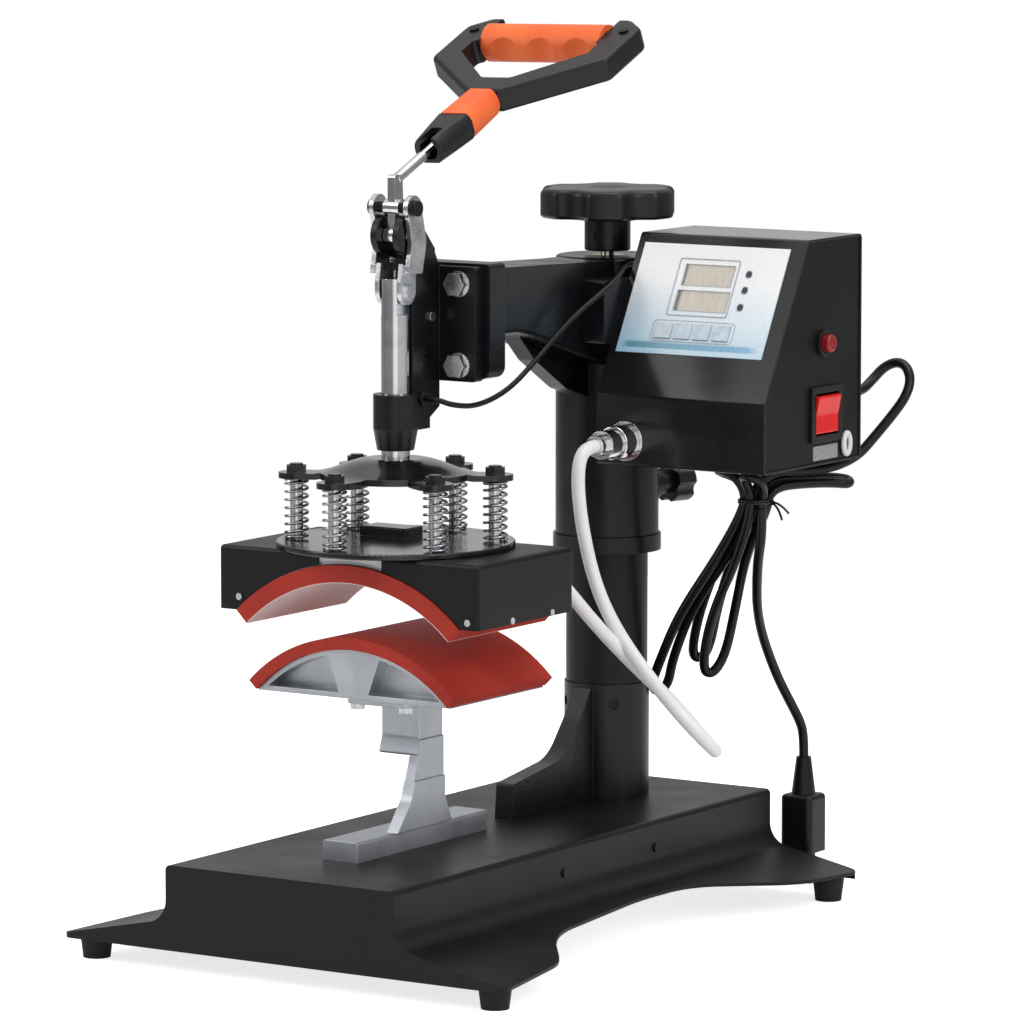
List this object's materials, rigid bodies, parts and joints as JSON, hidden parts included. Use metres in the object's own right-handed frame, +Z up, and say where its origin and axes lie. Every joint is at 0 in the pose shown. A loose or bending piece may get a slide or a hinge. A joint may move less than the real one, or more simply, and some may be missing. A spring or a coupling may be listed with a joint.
{
  "type": "cap heat press",
  "caption": "Bench cap heat press: curved heated head on a swing-away arm, toggle handle, pressure knob, sloped control box, round column, winged foot.",
  "frame": {"origin": "on the floor, under the centre of the base box", "axes": "+Z up, -Y towards the user, +X to the user's right"},
  "size_m": [0.3221, 0.4545, 0.5379],
  "materials": {
    "black_steel": "satin black powder coat",
    "black_casting": "satin black enamel on a casting",
    "gloss_black_plate": "gloss black enamel",
    "zinc_steel": "bright zinc plate",
    "chrome_steel": "bright chrome plate",
    "cast_aluminium": "plain cast and machined aluminium",
    "brass_bush": "machined brass",
    "red_silicone": "matte red silicone",
    "black_rubber": "matte black rubber",
    "orange_rubber": "matte orange soft grip",
    "black_plastic": "satin black moulded plastic",
    "liner_plastic": "plain bearing plastic",
    "red_plastic": "gloss red, lamp-lit",
    "panel_film": "printed film, white to light blue",
    "key_film": "printed grey blue film",
    "lens_beige": "beige display window",
    "board_green": "green circuit board",
    "insulation_white": "pale fibre blanket",
    "white_cable": "white sleeved heater cable",
    "cord_black": "satin black flexible sheath",
    "tie_black": "black nylon tie"
  },
  "bodies": {
    "base": {"base_cover": "black_steel", "base_stiffener": "zinc_steel", "rubber_feet": "black_rubber", "base_screws": "black_steel", "column_socket": "black_casting", "column_tube": "black_steel", "platen_stand": "cast_aluminium", "platen_screws": "zinc_steel", "lower_platen": "cast_aluminium", "lower_pad": "red_silicone", "mains_plug": "cord_black"},
    "pressure_screw": {"pressure_rod": "chrome_steel", "knob_hub": "black_casting", "pressure_knob": "black_plastic"},
    "lift": {"lift_bush": "brass_bush"},
    "swing_head": {"arm_casting": "black_casting", "sleeve_collar": "black_casting", "swing_liners": "liner_plastic", "toggle_body": "black_casting", "arm_bolts": "zinc_steel", "handle_pin": "zinc_steel", "closing_sensor": "black_plastic", "box_bracket": "black_casting", "control_box_shell": "black_steel", "box_side_panel": "black_steel", "switch_bezels": "black_plastic", "display_overlay": "panel_film", "display_lenses": "lens_beige", "circuit_boards": "board_green", "heater_connector": "chrome_steel", "mains_gland": "black_plastic", "heater_cable": "white_cable", "mains_cord": "cord_black", "sensor_cable": "cord_black", "mains_lead": "cord_black", "mains_hank": "cord_black", "cord_ties": "tie_black"},
    "lock_knob": {"lock_knob": "black_plastic"},
    "rocker": {"rocker_switch": "red_plastic"},
    "button": {"push_button": "red_plastic"},
    "key_1": {"membrane_key_1": "key_film"},
    "key_2": {"membrane_key_2": "key_film"},
    "key_3": {"membrane_key_3": "key_film"},
    "key_4": {"membrane_key_4": "key_film"},
    "heat_head": {"round_plate": "gloss_black_plate", "heat_hood": "black_steel", "hood_screws": "zinc_steel", "insulation": "insulation_white", "heater_plate": "cast_aluminium", "upper_pad": "red_silicone", "guide_posts": "chrome_steel", "press_springs": "chrome_steel"},
    "plunger": {"plunger_shaft": "chrome_steel", "spring_spider": "gloss_black_plate"},
    "handle": {"toggle_lever": "chrome_steel", "handle_frame": "black_plastic", "handle_grip": "orange_rubber", "handle_screws": "black_steel"},
    "side_links": {"side_links": "zinc_steel"}
  },
  "joints": [
    {"name": "knob_turn", "type": "hinge", "parent": "base", "child": "pressure_screw", "pos_m": [0, 0.1435, 0.4], "axis": [0, 0, 1], "range_deg": [-361, 613]},
    {"name": "head_lift", "type": "slide", "parent": "base", "child": "lift", "axis": [0, 0, 1], "range_m": [-0.0034, 0.002]},
    {"name": "head_swing", "type": "hinge", "parent": "lift", "child": "swing_head", "pos_m": [0, 0.1435, 0.3], "axis": [0, 0, 1], "range_deg": [-15, 95], "deforming": ["mains_lead"]},
    {"name": "lock_turn", "type": "hinge", "parent": "swing_head", "child": "lock_knob", "pos_m": [0.01294, 0.1918, 0.2495], "axis": [0.2588, 0.9659, 0], "range_deg": [-90, 270]},
    {"name": "rocker_tilt", "type": "hinge", "parent": "swing_head", "child": "rocker", "pos_m": [0.1503, 0.145, 0.3045], "axis": [0, -1, 0], "range_deg": [0, 12]},
    {"name": "button_press", "type": "slide", "parent": "swing_head", "child": "button", "axis": [-1, 0, 0], "range_m": [0, 0.003], "stiffness_N_per_m": 300, "springref_m": -0.001},
    {"name": "key_1_press", "type": "slide", "parent": "swing_head", "child": "key_1", "axis": [0, 0.8799, -0.4752], "range_m": [0, 0.0006], "stiffness_N_per_m": 400, "springref_m": -0.0005},
    {"name": "key_2_press", "type": "slide", "parent": "swing_head", "child": "key_2", "axis": [0, 0.8799, -0.4752], "range_m": [0, 0.0006], "stiffness_N_per_m": 400, "springref_m": -0.0005},
    {"name": "key_3_press", "type": "slide", "parent": "swing_head", "child": "key_3", "axis": [0, 0.8799, -0.4752], "range_m": [0, 0.0006], "stiffness_N_per_m": 400, "springref_m": -0.0005},
    {"name": "key_4_press", "type": "slide", "parent": "swing_head", "child": "key_4", "axis": [0, 0.8799, -0.4752], "range_m": [0, 0.0006], "stiffness_N_per_m": 400, "springref_m": -0.0005},
    {"name": "press_stroke", "type": "slide", "parent": "swing_head", "child": "heat_head", "axis": [0, 0, -1], "range_m": [0, 0.0312], "deforming": ["heater_cable"]},
    {"name": "spring_travel", "type": "slide", "parent": "heat_head", "child": "plunger", "axis": [0, 0, -1], "range_m": [0, 0.004], "stiffness_N_per_m": 12000, "springref_m": -0.003, "deforming": ["press_springs"]},
    {"name": "handle_swing", "type": "hinge", "parent": "swing_head", "child": "handle", "pos_m": [0, -0.087, 0.42], "axis": [1, 0, 0], "range_deg": [0, 180]},
    {"name": "link_turn", "type": "hinge", "parent": "handle", "child": "side_links", "pos_m": [0, -0.087, 0.43595], "axis": [1, 0, 0], "range_deg": [-181, 1]}
  ],
  "couplings": [
    {"joint": "knob_turn", "follows": "head_lift", "rad_per_m": -3141.6},
    {"joint": "press_stroke", "follows": "handle_swing", "m_per_rad": 0.0099303},
    {"joint": "link_turn", "follows": "handle_swing", "ratio": -1}
  ]
}
